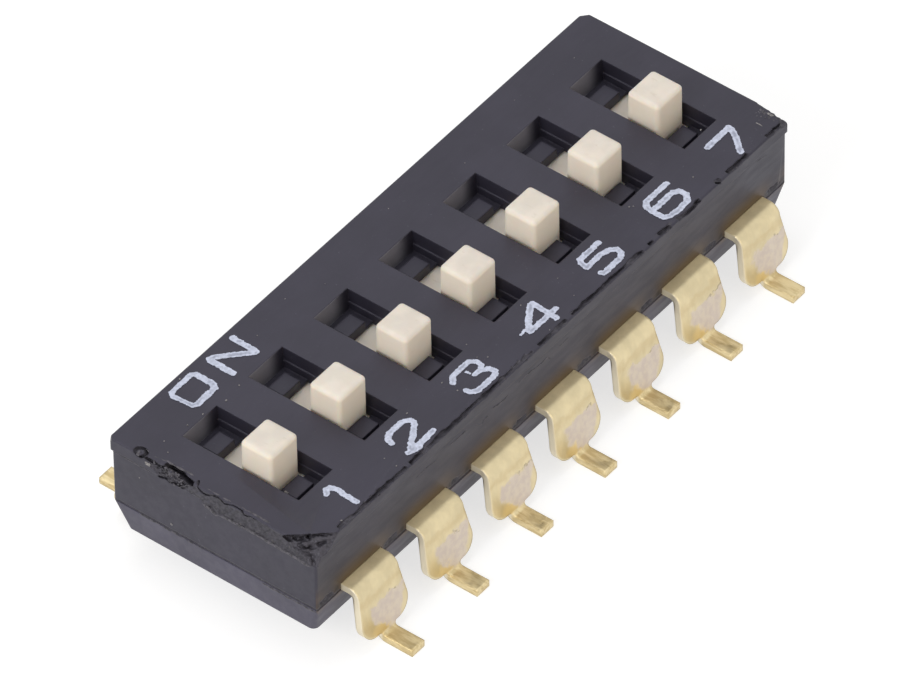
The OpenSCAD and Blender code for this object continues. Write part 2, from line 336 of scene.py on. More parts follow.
def end_tear(y, q):
    """Depth of the tear round the top edge of the low end.

    It is the deepest of a worn band, a crack, a pit, a trench, crumbs, an undercut and a small hole.
    """
    rough = grain(y, q, 0.16, 11, 4)
    fine = grain(y, q, 0.05, 17, 2)
    crack = groove(y, q, CRACK, 0.030 * (1 + 0.7 * value_noise(y, q, 0.11, 5)), 0.07)
    crack = crack - 0.03 * (wave(y, 0.3, 7) > 0.2)
    crack = np.where(y < -1.05, crack - 0.02, crack)
    above = (-0.04 + 0.05 * wave(y, 0.33, 21) - q) * 1.5
    below = (q + 0.56 + 0.03 * wave(y, 0.4, 9)) * 0.8
    streaks = grain(y + 0.8 * q, q * 0.3, 0.06, 31, 3)
    band = np.minimum.reduce([above, below, 0.75 - y, 0.013 + 0.020 * streaks + 0.012 * rough])
    pit = groove(y, q, PIT, 0.115 + 0.03 * rough, 0.36)
    trench = groove(y, q, TRENCH, 0.055 + 0.02 * rough, 0.14)
    field = oval(y, q, (1.28, -0.16), (0.62, 0.27), 0.3 * rough)
    crumbs = np.minimum(0.14 * field, 0.060 + 0.07 * rough + 0.04 * fine)
    undercut = groove(y, q, UNDERCUT, 0.045 + 0.02 * rough, 0.15)
    radius = np.hypot((y - 2.25) / 1.1, q - 0.08)
    hole = 0.12 * (1 - ((radius - 0.13 + 0.02 * rough) / 0.055) ** 2) + 0.03 * rough
    return np.maximum.reduce([0 * y - GAP, crack, band, pit, trench, crumbs, undercut, hole])


def side_tear(x, q):
    """Depth of the ragged groove just under the deck's edge on the number side, with breaks and nicks."""
    rough = grain(x, q, 0.12, 41, 3)
    middle = 0.048 + 0.018 * wave(x, 0.45, 43) - 0.07 * np.exp(-(((x - 5.3) / 0.4) ** 2))
    half = 0.060 + 0.020 * wave(x, 0.3, 47)
    strength = np.clip(0.9 + 0.6 * wave(x, 0.5, 53), 0.3, 1)
    whole = np.any([np.abs(x - place) < reach for place, reach in UNTORN], axis=0)
    ragged = 0.12 * strength * (1 - ((q - middle + 0.02 * rough) / half) ** 2)
    nicks = np.where(np.abs(q - 0.05) < 0.1, 0.06 * (value_noise(x, q, 0.09, 59) - 0.45), -GAP)
    gashes = [groove(x, q, path, wide + 0.02 * rough, deep) for path, wide, deep in SIDE_GASHES]
    worn = np.where(whole, nicks - 0.01, np.maximum(ragged, nicks))
    return np.maximum.reduce([0 * x - GAP, worn, *gashes])


def parting_tear(t, q):
    """Depth of the worn lower edge of the cover, where it meets the base."""
    waver = 1 + 0.45 * wave(t, 0.35, 67)
    return np.maximum(-GAP, 0.022 * waver * (1 - ((q + 0.03) / 0.055) ** 2))


def parting_side_tear(x, q):
    """The same on the number side, with bites out of the edge beside each lead."""
    rough = grain(x, q, 0.14, 77, 3)
    beside = (x + PITCH * (COUNT + 1.5) + BITE_SHIFT) % PITCH - PITCH / 2
    bites = 0.06 * oval(beside, q, (0.0, -0.15), (0.26, 0.11), 0.8 * rough)
    return np.maximum(parting_tear(x, q), bites)


def far_end_tear(y, q):
    """Depth of the light wear on the top edge of the high end."""
    rough = grain(y, q, 0.14, 71, 3)
    line = -0.05 + 0.03 * wave(y, 0.3, 73)
    return np.maximum(-GAP, 0.03 * (1 - ((q - line) / 0.04) ** 2) * (rough > -0.1) + 0.01 * rough - 0.006)


def edge_cutter(name, along, drop, inset, tear, place, strength, pivot=0.9):
    """A closed shell whose inner skin follows a torn edge.

    The edge is unrolled: q runs up the wall as minus the drop below the deck, turns the corner at 0 and
    runs on over the deck. drop and inset say how far it runs on each side of the corner, and in how many
    steps. A whole surface point moves towards a line inside the body by the depth there, or away from it
    where nothing is torn. All rims close on one point outside the body.
    """
    up_wall = -np.linspace(drop[0], 0, drop[1], endpoint=False)
    t, q = np.meshgrid(along, np.concatenate([up_wall, np.linspace(0, inset[0], inset[1])]), indexing="ij")
    depth = tear(t, q)
    depth = np.where(depth > 0, depth * strength, depth)
    depth[[0, -1]] = depth[:, [0, -1]] = -GAP
    p, h = np.where(q > 0, q, 0.0), np.where(q < 0, q, 0.0)
    to_p, to_h = pivot - p, -pivot - h
    length = np.hypot(to_p, to_h)
    points = place(t, p + to_p / length * depth, h + to_h / length * depth)
    outside = 1.2
    apex = place(np.array([np.mean(along)]), np.array([-outside]), np.array([outside]))
    return shell_to(apex, name, points)


def corner_cutter(name, corner, reach, seed, strength, gashes=()):
    """A closed shell that takes off a corner of the deck.

    Its inner skin is the plane through three points, at the given reach from the corner along the deck's
    two edges and down the upright one, pushed inwards by noise and by gashes along broken lines.
    """
    corner = np.asarray(corner, float)
    marks = corner + np.array([[0, reach[1], 0], [reach[0], 0, 0], [0, 0, -reach[2]]])
    origin = marks[:2].mean(axis=0)
    across = (marks[1] - marks[0]) / np.linalg.norm(marks[1] - marks[0])
    down = marks[2] - origin
    down = down - across * (down @ across)
    down /= np.linalg.norm(down)
    out = np.cross(across, down)
    out *= np.sign(out @ (corner - origin))
    size, steps = 0.8 * np.linalg.norm(marks[1] - marks[0]), 90
    sideways, downwards = np.linspace(-size, size, steps), np.linspace(-0.4 * size, 1.5 * size, steps)
    u, v = np.meshgrid(sideways, downwards, indexing="ij")
    depth = 0.03 + 0.038 * grain(u, v, 0.22, seed, 5) + 0.012 * grain(u * 0.4, v, 0.06, seed + 7, 2)
    for path, width, deep in gashes:
        wide = width * (1 + 0.5 * value_noise(u, v, 0.15, seed + 3) + 0.4 * value_noise(u, v, 0.05, seed + 4))
        uneven = deep * (1 + 0.5 * value_noise(u, v, 0.08, seed + 5))
        depth = depth + uneven * np.clip(groove(u, v, path, wide, 1.0), 0, 1)
    edge = np.clip(v / 0.05 + 1, 0, 1)
    points = origin + u[..., None] * across + v[..., None] * down - (depth * edge * strength)[..., None] * out
    return shell_to(origin + out * 3, name, points)


def flash_strip():
    """The moulding flash under the lip at the low end.

    Its lower edge wavers along the wall, and the strip dies out past the middle.
    """
    last = 0.42
    y = np.linspace(-SIDE_Y + 0.02, last, 150)
    fade = np.clip((last - y) / 0.5, 0, 1)
    low = -0.40 - 0.20 * fade + 0.018 * wave(y, 0.16, 61) - 0.07 * np.exp(-(((y + 0.1) / 0.07) ** 2))
    proud = -0.004 + 0.010 * wave(y, 0.2, 63)
    flat, top, sunk = 0 * y, -0.34, 0.12
    section = [
        (sunk + flat, top + flat),
        (0.004 - 0.2 * proud, top + flat),
        (proud * fade + 0.004, low + 0.05),
        (proud * fade - 0.006 * fade + 0.004, low + 0.02),
        (0.03 + flat, low),
        (sunk + flat, low - 0.01),
    ]
    points = np.stack([np.stack([-END_X + p, y, DECK_Z + h], -1) for p, h in section], axis=1)
    strip = link("flash_strip", make_mesh("flash_strip", points, *tube_faces(*points.shape[:2])))
    outward(strip.data)
    return strip


# ---------------------------------------------------------------- small pieces


def bead(path, radius, seed, face, lift):
    """A thin raised thread: a ring of points carried along a broken line.

    Its radius wavers and closes at both ends.
    """
    sides, step, taper = 8, 0.03, 0.12
    path = np.asarray(path, float)
    run = np.concatenate([[0], np.cumsum(np.linalg.norm(np.diff(path, axis=0), axis=1))])
    s = np.linspace(0, run[-1], max(int(run[-1] / step), 6))
    u, v = np.interp(s, run, path[:, 0]), np.interp(s, run, path[:, 1])
    v = v + 0.012 * wave(s, 0.11, seed)
    closing = np.clip(np.minimum(s, run[-1] - s) / taper, 0.02, 1)
    r = radius * (1 + 0.45 * wave(s, 0.15, seed + 1)) * closing
    angle = np.linspace(0, 2 * np.pi, sides, endpoint=False)
    ring_v = v[:, None] + r[:, None] * np.cos(angle)
    ring_out = lift + 0.6 * r[:, None] * np.sin(angle)
    points = face(np.repeat(u[:, None], sides, 1), ring_v, ring_out)
    return points.reshape(-1, 3), tube_faces(*ring_v.shape)


def speck(centre, size, seed):
    """A crumb: a ball on a grid of turns and rises, its radius scaled by noise."""
    rises, turns = np.linspace(-np.pi / 2, np.pi / 2, 7)[1:-1], np.linspace(0, 2 * np.pi, 9)[:-1]
    rise, turn = np.meshgrid(rises, turns, indexing="ij")
    random = np.random.default_rng(seed)
    radius = np.asarray(size)[:, None, None] * (1 + random.uniform(-0.35, 0.35, rise.shape))
    points = np.stack([np.cos(rise) * np.cos(turn), np.cos(rise) * np.sin(turn), np.sin(rise)]) * radius
    poles = np.array([[0, 0, -size[2]], [0, 0, size[2]]])
    points = np.vstack([points.reshape(3, -1).T, poles]) + centre
    rows, columns = rise.shape
    ring = np.arange(columns)
    low = np.stack([np.roll(ring, -1), ring, np.full(columns, rows * columns)], -1)
    top = (rows - 1) * columns + ring
    high = np.stack([top, np.roll(top, -1), np.full(columns, rows * columns + 1)], -1)
    return points, [grid_faces(rows, columns, closed=True), low, high]


def join_parts(name, parts):
    """One mesh, in metres, from (points, faces) parts."""
    points, polygons, offset = [], [], 0
    for part_points, blocks in parts:
        points.append(part_points)
        polygons += [np.asarray(block) + offset for block in blocks]
        offset += len(part_points)
    mesh = make_mesh(name, np.vstack(points) * MM, *polygons)
    outward(mesh)
    return mesh


# ---------------------------------------------------------------- characters

# Middle lines of the brush strokes on the deck, and the half width of each
STROKES = {
    "number_1": [
        ([(-7.72, -2.20), (-7.62, -2.10), (-7.49, -2.12), (-7.44, -2.30), (-7.48, -2.55),
          (-7.48, -2.93)], 0.078),
    ],
    "number_2": [
        ([(-5.43, -2.38), (-5.38, -2.22), (-5.20, -2.12), (-4.72, -2.12), (-4.53, -2.24), (-4.53, -2.36),
          (-4.72, -2.50), (-5.30, -2.84)], 0.078),
        ([(-5.44, -2.89), (-5.22, -2.93), (-4.48, -2.90)], 0.078),
        ([(-5.30, -2.90), (-5.12, -2.93)], 0.115),
    ],
    "number_3": [
        ([(-2.91, -2.28), (-2.73, -2.13), (-2.12, -2.13), (-1.99, -2.28), (-2.01, -2.46), (-2.14, -2.53),
          (-2.36, -2.52)], 0.074),
        ([(-2.16, -2.54), (-1.99, -2.68), (-1.97, -2.84), (-2.08, -2.92), (-2.76, -2.92), (-2.90, -2.80),
          (-2.91, -2.70)], 0.078),
        ([(-2.42, -2.30), (-2.40, -2.42)], 0.03),
    ],
    "number_4": [
        ([(0.34, -2.13), (-0.05, -2.38), (-0.37, -2.62)], 0.082),
        ([(-0.39, -2.69), (0.62, -2.69)], 0.075),
        ([(0.42, -2.13), (0.37, -2.90)], 0.08),
        ([(-0.62, -2.58), (-0.42, -2.54)], 0.028),
    ],
    "number_5": [
        ([(3.06, -2.12), (2.32, -2.12), (2.24, -2.22), (2.20, -2.42)], 0.078),
        ([(2.20, -2.42), (2.78, -2.41), (3.05, -2.50), (3.16, -2.62), (3.13, -2.78), (2.98, -2.87),
          (2.30, -2.87), (2.27, -2.80)], 0.078),
    ],
    "number_6": [
        ([(5.72, -2.18), (4.90, -2.18), (4.76, -2.30), (4.72, -2.55), (4.74, -2.84), (4.86, -2.94),
          (5.20, -2.98), (5.55, -2.95), (5.71, -2.82), (5.71, -2.60), (5.55, -2.49), (4.80, -2.49)], 0.08),
    ],
    "number_7": [([(7.34, -2.21), (8.22, -2.20), (8.20, -2.32), (8.02, -2.60), (7.72, -2.94)], 0.082)],
    "letter_O": [
        ([(-7.20, 2.17), (-7.33, 2.24), (-7.37, 2.82), (-7.29, 2.92), (-6.53, 2.93), (-6.45, 2.84)], 0.07),
        ([(-6.45, 2.84), (-6.45, 2.30), (-6.54, 2.19), (-7.20, 2.17)], 0.088),
    ],
    "letter_N": [
        ([(-5.87, 2.16), (-5.86, 2.86)], 0.088),
        ([(-5.84, 2.90), (-5.72, 2.86), (-4.98, 2.17)], 0.085),
        ([(-4.94, 2.20), (-4.93, 2.92)], 0.082),
    ],
}


def stroke_mesh(name, strokes, height, seed):
    """A skin of paint: the cells of a fine grid that lie nearer to a middle line than half width plus noise.

    The attribute "bare" says how thin the paint is: noise that grows towards the middle of a stroke.
    """
    cell = 0.012
    spots = np.vstack([path for path, _ in strokes])
    low, high = spots.min(axis=0) - 0.16, spots.max(axis=0) + 0.16
    x, y = np.meshgrid(np.arange(low[0], high[0], cell), np.arange(low[1], high[1], cell), indexing="ij")
    ragged = 0.014 * value_noise(x, y, 0.07, seed) + 0.010 * value_noise(x, y, 0.03, seed + 1)
    edge = np.max([half - distance_to(x, y, path) for path, half in strokes], axis=0)
    inside = edge + ragged
    keep = (inside[:-1, :-1] + inside[1:, 1:] + inside[1:, :-1] + inside[:-1, 1:]) / 4 > 0
    faces = grid_faces(*x.shape)[keep.ravel()]
    used, faces = np.unique(faces, return_inverse=True)
    faces = faces.reshape(-1, 4)
    points = np.stack([x, y, np.full(x.shape, DECK_Z + height / MM)], -1).reshape(-1, 3)[used]
    mesh = make_mesh(name, points * MM, faces)
    worn = 0.5 + 0.75 * value_noise(x, y, 0.16, seed + 2) + 0.35 * value_noise(x, y, 0.05, seed + 3)
    bare = np.clip(worn * np.clip(edge / 0.07, 0, 1), 0, 1).ravel()[used]
    mesh.attributes.new("bare", "FLOAT", "POINT").data.foreach_set("value", bare.astype(np.float32))
    return mesh


# ---------------------------------------------------------------- materials


class Finish:
    """A material's nodes. Its patterns read Object coordinates, in millimetres."""

    def __init__(self, name):
        self.material = bpy.data.materials.new(name)
        self.material.use_nodes = True
        self.tree = self.material.node_tree
        self.shader = self.tree.nodes["Principled BSDF"]
        metres = self.node("ShaderNodeTexCoord").outputs["Object"]
        scale = {0: metres, 1: (1 / MM,) * 3}
        self.place = self.node("ShaderNodeVectorMath", operation="MULTIPLY", inputs=scale).outputs[0]

    def put(self, socket, value):
        """Links a socket, or writes its value."""
        if isinstance(value, bpy.types.NodeSocket):
            self.tree.links.new(value, socket)
        elif socket.type == "RGBA" and len(value) == 3:
            socket.default_value = (*value, 1)
        else:
            socket.default_value = value

    def node(self, kind, inputs=None, **settings):
        """A node with its settings and inputs."""
        made = self.tree.nodes.new(kind)
        for key, value in settings.items():
            setattr(made, key, value)
        for key, value in (inputs or {}).items():
            self.put(made.inputs[key], value)
        return made

    def set(self, **values):
        """Writes sockets of the shader, by their names with underscores."""
        for key, value in values.items():
            self.put(self.shader.inputs[key.replace("_", " ")], value)

    def noise(self, size, detail=2.0, roughness=0.5, stretch=None, shift=None):
        """Noise with spots of that size in millimetres, drawn out along the axes whose stretch is below 1."""
        place = self.place
        if stretch or shift:
            spread = {"Vector": place, "Scale": stretch or (1, 1, 1), "Location": shift or (0, 0, 0)}
            place = self.node("ShaderNodeMapping", inputs=spread).outputs[0]
        spots = {"Vector": place, "Scale": 1 / size, "Detail": detail, "Roughness": roughness}
        return self.node("ShaderNodeTexNoise", inputs=spots).outputs["Fac"]

    def maths(self, operation, *values):
        """One step of arithmetic."""
        return self.node("ShaderNodeMath", operation=operation, inputs=dict(enumerate(values))).outputs[0]

    def product(self, first, *others):
        """All the values multiplied."""
        for other in others:
            first = self.maths("MULTIPLY", first, other)
        return first

    def span(self, value, start, end, to_start=0.0, to_end=1.0):
        """A value carried smoothly from one span to another, and held at its ends."""
        ends = {"Value": value, "From Min": start, "From Max": end, "To Min": to_start, "To Max": to_end}
        return self.node("ShaderNodeMapRange", interpolation_type="SMOOTHSTEP", inputs=ends).outputs[0]

    def near(self, value, middle, far, close, most=1.0):
        """Most where the value is nearer to the middle than close, and 0 where it is farther than far."""
        off = self.maths("ABSOLUTE", self.maths("SUBTRACT", value, middle))
        return self.span(off, far, close, 0.0, most)

    def clouds(self, noise, low, high, dark, light):
        """Two colours in the pattern of a noise, blended between two of its levels."""
        return self.mix(self.span(noise, low, high), dark, light)

    def mix(self, factor, a, b):
        """Colour a where factor is 0 and b where it is 1."""
        made = self.node("ShaderNodeMix", data_type="RGBA")
        for key, value in ((0, factor), (6, a), (7, b)):
            self.put(made.inputs[key], value)
        return made.outputs[2]

    def bump(self, height, depth, rounding=0.0, samples=8):
        """Bump of that depth in millimetres on the shader, over edges that look rounded by a radius."""
        inputs = {"Height": height, "Distance": depth * MM, "Strength": 1.0}
        if rounding:
            soft = self.node("ShaderNodeBevel", samples=samples, inputs={"Radius": rounding * MM})
            inputs["Normal"] = soft.outputs[0]
        self.set(Normal=self.node("ShaderNodeBump", inputs=inputs).outputs[0])

    def lead_place(self, x):
        """How far along X a point lies from the middle of the nearest lead."""
        turned = self.maths("ADD", x, PITCH * (COUNT + 0.5))
        return self.maths("SUBTRACT", self.maths("MODULO", turned, PITCH), PITCH / 2)

    def facing(self):
        """The three parts of the object's own normal."""
        normal = self.node("ShaderNodeTexCoord").outputs["Normal"]
        return self.node("ShaderNodeSeparateXYZ", inputs={0: normal}).outputs

    def axes(self):
        """The three coordinates, in millimetres."""
        return self.node("ShaderNodeSeparateXYZ", inputs={0: self.place}).outputs


def shades(colour, *factors):
    """The colour scaled by each factor."""
    return [tuple(c * f for c in colour) for f in factors]


def black_plastic(look, name="moulded_black", level=1.0):
    """Satin moulded plastic: soft clouds of tone, fine grain and faint rubbed streaks in the roughness.

    The wall above each lead carries a painted brown reflection of the lead, and on both sides of it a
    painted dark shadow of the gap round the lead; the windows' end walls on the ON side carry painted light,
    paler towards the low end.
    """
    f = Finish(name)
    dark, light = shades(look.black, 0.86 * level, 1.16 * level)
    colour = f.clouds(f.noise(1.6, 3), 0.3, 0.7, dark, light)
    dusty = f.span(f.noise(0.09, 2, 0.6), 0.68, 0.8, 0, 0.35)
    colour = f.mix(dusty, colour, tone(96, 96, 104))
    x, y, z = f.axes()
    local, wall, lead_top, lead_half = f.lead_place(x), SIDE_Y - LIP, 1.85, 0.94
    from_lead = f.maths("ABSOLUTE", local)
    on_wall = f.span(f.maths("ABSOLUTE", y), wall - 0.05, wall - 0.02)
    # Painted reflection: the wall above each lead is painted brown, as the gold lead seen in it.
    painted_gold_reflection = f.product(f.span(from_lead, 1.3, 0.5, 0.1), on_wall, f.span(z, 2.6, lead_top), 0.8)
    colour = f.mix(painted_gold_reflection, colour, tone(98, 79, 50))
    # Painted shadow: dark brown where the wall meets each lead's edges, level with its top, in the gap round
    # it.
    beside, level_with = f.near(from_lead, lead_half, 0.15, 0.02), f.near(z, lead_top + 0.01, 0.17, 0.03)
    colour = f.mix(f.product(beside, level_with, on_wall, 0.8), colour, tone(26, 20, 18))
    # Painted light: the windows' ON end walls that face -Y are painted pale grey, paler towards the low end.
    past_stop, before_lip = f.span(y, 1.55, 1.65), f.span(y, 2.9, 2.7)
    facing_back = f.span(f.facing()[1], -0.7, -0.95)
    painted_light_window_end = f.product(facing_back, before_lip, past_stop, f.span(local, 0.55, 0.0))
    colour = f.mix(painted_light_window_end, colour, tone(124, 122, 130))
    rough = f.span(f.noise(0.22, 3, 0.6, stretch=(0.25, 1, 1)), 0.3, 0.7, 0.38, 0.50)
    f.set(Base_Color=colour, Roughness=rough, IOR=1.52, Specular_Tint=(0.86, 0.84, 1.0))
    f.bump(f.maths("ADD", f.noise(0.06, 2), f.noise(0.5, 2)), 0.0012, rounding=0.06, samples=4)
    return f.material


def torn_plastic(look):
    """The same plastic where it is torn: dull, browner, with pale stress marks and a coarse grain."""
    f = Finish("torn_black")
    dark, light = shades(look.torn, 0.6, 1.25)
    colour = f.clouds(f.noise(0.10, 3, 0.6), 0.35, 0.65, dark, light)
    pale = f.span(f.noise(0.16, 3, 0.65, shift=(3, 1, 2)), 0.62, 0.72, 0, 0.4)
    colour = f.mix(pale, colour, tone(120, 116, 112))
    f.set(Base_Color=colour, Roughness=0.55, IOR=1.48, Specular_Tint=(0.9, 0.88, 1.0))
    f.bump(f.noise(0.035, 2, 0.6), 0.004)
    return f.material


def cream_plastic(look):
    """Cream moulded plastic: barely mottled, soft light inside, a satin grain, painted warm light on its
    sides.
    """
    f = Finish("cream_plastic")
    dark, light = shades(look.cream, 0.95, 1.03)
    colour = f.clouds(f.noise(0.55, 3), 0.35, 0.65, dark, light)
    rub = f.span(f.noise(0.12, 2, 0.5, stretch=(1, 0.4, 1)), 0.66, 0.76, 0, 0.25)
    colour = f.mix(rub, colour, tone(206, 192, 172))
    # Painted warm light: upright sides are painted paler and warmer, as warm light bounced on to them.
    sides = f.span(f.maths("ABSOLUTE", f.facing()[2]), 0.8, 0.3, 0.0, 0.6)
    colour = f.mix(sides, colour, tone(254, 240, 219))
    f.set(Base_Color=colour, Roughness=f.span(f.noise(0.3, 2), 0.3, 0.7, 0.42, 0.55), IOR=1.46)
    f.set(Subsurface_Weight=0.3, Subsurface_Radius=(1.0, 0.6, 0.35), Subsurface_Scale=0.25 * MM)
    f.bump(f.noise(0.07, 2), 0.0015, rounding=0.11)
    return f.material


def gold_plate(look):
    """Pale gold plating on a stamped lead.

    The outer face carries a dull pinkish patch low down, an amber stain under its left corner and a few
    dark nicks along its upper edge. A band just under the bend is painted darker as shade, the foot's top
    is painted darker as a reflection of the dark wall, and the faces turned along X are painted paler,
    partly as the bare cut edge and partly as painted light. The pattern repeats with the leads, one to a
    pitch.
    """
    f = Finish("gold_plate")
    x, y, z = f.axes()
    local, reach = f.lead_place(x), f.maths("ABSOLUTE", y)
    wander = f.product(f.maths("SUBTRACT", f.noise(0.28, 3, 0.6), 0.5), 0.5)
    u, v = f.maths("ADD", local, wander), f.maths("ADD", z, wander)
    outer = f.product(f.span(reach, 3.45, 3.5), f.span(z, 0.14, 0.26))
    low = f.span(f.maths("ADD", u, v), 0.20, 0.42)
    right = f.span(f.maths("SUBTRACT", u, f.product(v, 0.42)), 0.45, 0.31)
    patch = f.product(f.span(u, -0.54, -0.38), f.span(v, 1.22, 1.12), low, right, outer)
    from_stain = [f.maths("SUBTRACT", u, -0.26), f.maths("SUBTRACT", v, 0.36)]
    squares = [f.maths("POWER", off, 2.0) for off in from_stain]
    stain = f.product(f.span(f.maths("ADD", *squares), 0.13, 0.0), outer)
    dark, light = shades(look.gold, 0.9, 1.06)
    colour = f.clouds(f.noise(0.5, 3, 0.6, stretch=(1, 1, 0.5)), 0.3, 0.7, dark, light)
    # Painted shade: a darker band just under the bend.
    colour = f.mix(f.near(v, 1.42, 0.20, 0.0, 0.45), colour, tone(200, 180, 138))
    colour = f.mix(f.product(stain, 0.65), colour, tone(250, 230, 180))
    mottle = f.clouds(f.noise(0.16, 2), 0.35, 0.65, tone(218, 206, 198), tone(226, 215, 202))
    colour = f.mix(f.product(patch, 0.9), colour, mottle)
    nick_line = f.product(f.near(v, 1.18, 0.05, 0.015), f.span(local, 0.1, 0.4), outer)
    nicks = f.product(nick_line, f.span(f.noise(0.13, 2, 0.5, shift=(5, 2, 8)), 0.50, 0.60), 0.5)
    colour = f.mix(nicks, colour, tone(140, 126, 98))
    # Painted reflection: the foot's top is painted darker in drawn streaks, as the dark wall seen in it.
    foot = f.product(f.span(z, 0.32, 0.22), f.span(reach, 3.88, 3.98))
    drawn = f.noise(0.12, 3, 0.6, stretch=(1, 0.2, 1))
    colour = f.mix(foot, colour, f.clouds(drawn, 0.35, 0.65, tone(200, 180, 134), tone(226, 209, 166)))
    # Faces turned along X are painted paler: partly the bare cut edge, partly painted light.
    off_foot = f.maths("SUBTRACT", 0.7, f.product(foot, 0.7))
    cut_edge_and_painted_light = f.product(f.span(f.maths("ABSOLUTE", f.facing()[0]), 0.55, 0.8), off_foot)
    colour = f.mix(cut_edge_and_painted_light, colour, tone(238, 229, 208))
    flat_top = f.product(f.span(z, 1.55, 1.65), f.span(reach, 3.5, 3.3))
    dull = f.maths("MAXIMUM", patch, flat_top)
    rough = f.span(f.noise(0.2, 3, 0.6, stretch=(1, 1, 0.3)), 0.3, 0.7, 0.32, 0.44)
    rough = f.maths("ADD", rough, f.product(dull, 0.3))
    metal = f.maths("SUBTRACT", 1.0, f.product(dull, 0.45))
    f.set(Base_Color=colour, Roughness=rough, Metallic=metal)
    f.bump(f.maths("ADD", f.noise(0.05, 2, 0.6), f.product(f.noise(0.3, 2), 1.5)), 0.001, rounding=0.09)
    return f.material


def brass_strip(look):
    """Rolled brass with fine lengthwise drawing marks and slight tarnish."""
    f = Finish("brass_strip")
    dark, light = shades(look.brass, 0.8, 1.08)
    lines = f.noise(0.08, 3, 0.6, stretch=(1, 0.1, 1))
    colour = f.clouds(lines, 0.3, 0.7, dark, light)
    f.set(Base_Color=colour, Roughness=f.span(lines, 0.3, 0.7, 0.25, 0.4), Metallic=1.0)
    f.bump(lines, 0.0015)
    return f.material


def character_paint(look):
    """Matt bluish white paint that lets the plastic through where the attribute "bare" is high."""
    f = Finish("character_paint")
    bare = f.node("ShaderNodeAttribute", attribute_name="bare").outputs["Fac"]
    dim, bright = shades(look.paint, 0.82, 1.05)
    colour = f.clouds(f.noise(0.09, 3, 0.6), 0.35, 0.65, dim, bright)
    colour = f.mix(f.span(bare, 0.25, 1.0, 0.0, 0.5), colour, tone(110, 114, 134))
    f.set(Base_Color=colour, Roughness=0.6)
    f.bump(f.noise(0.04, 2), 0.002)
    return f.material


def pale_crumb():
    """Greyish crumbs of dust and flash."""
    f = Finish("pale_crumb")
    colour = f.clouds(f.noise(0.05, 2), 0.3, 0.7, tone(104, 102, 104), tone(160, 156, 154))
    f.set(Base_Color=colour, Roughness=0.8)
    return f.material


def grey_thread():
    """Scuffed black plastic, a little paler than the wall it stands on."""
    f = Finish("grey_thread")
    colour = f.clouds(f.noise(0.1, 3, 0.6), 0.35, 0.65, tone(54, 52, 57), tone(92, 89, 96))
    f.set(Base_Color=colour, Roughness=0.65)
    return f.material


# ---------------------------------------------------------------- places


def place_end(t, p, h):
    """A wall point at the low end: t along Y, p inwards from the wall, h above the deck."""
    return np.stack([-END_X + p, t, DECK_Z + h], -1)


def place_far_end(t, p, h):
    """A wall point at the high end."""
    return np.stack([END_X - p, t, DECK_Z + h], -1)


def place_side(t, p, h):
    """A wall point on the number side: t along X."""
    return np.stack([t, -SIDE_Y + p, DECK_Z + h], -1)


def place_end_foot(t, p, h):
    """A wall point at the low end, h below the parting line."""
    return np.stack([-END_X + LIP + p, t, PARTING_Z - h], -1)


def place_side_foot(t, p, h):
    """A wall point on the number side, h below the parting line."""
    return np.stack([t, -SIDE_Y + LIP + p, PARTING_Z - h], -1)


def on_side(u, v, lift):
    """A point on the number side's wall below the lip: u along X, v up, lift outwards."""
    return np.stack([u, -SIDE_Y + LIP - lift, v], -1)


def on_end(u, v, lift):
    """A point on the low end's wall: u along Y, v up, lift outwards."""
    return np.stack([-END_X + 0.005 - lift, u, v], -1)


def on_deck(u, v, lift):
    """A point on the deck by the low end: u along Y, v inwards from the end, lift upwards."""
    return np.stack([-END_X + v, u, DECK_Z + lift], -1)


# ---------------------------------------------------------------- operators

# Painted reflection: the base's black is painted lighter than the cover's, for the pale floor its walls
# reflect.
BASE_PAINTED_SHEEN_LEVEL = 2.35  # how many times as light as the cover the base is
BEVELLED = 40  # degrees between two faces of a lead, from which their edge is rounded


def look_of(context):
    """The settings of the finish."""
    return context.scene.dip_switch_finish


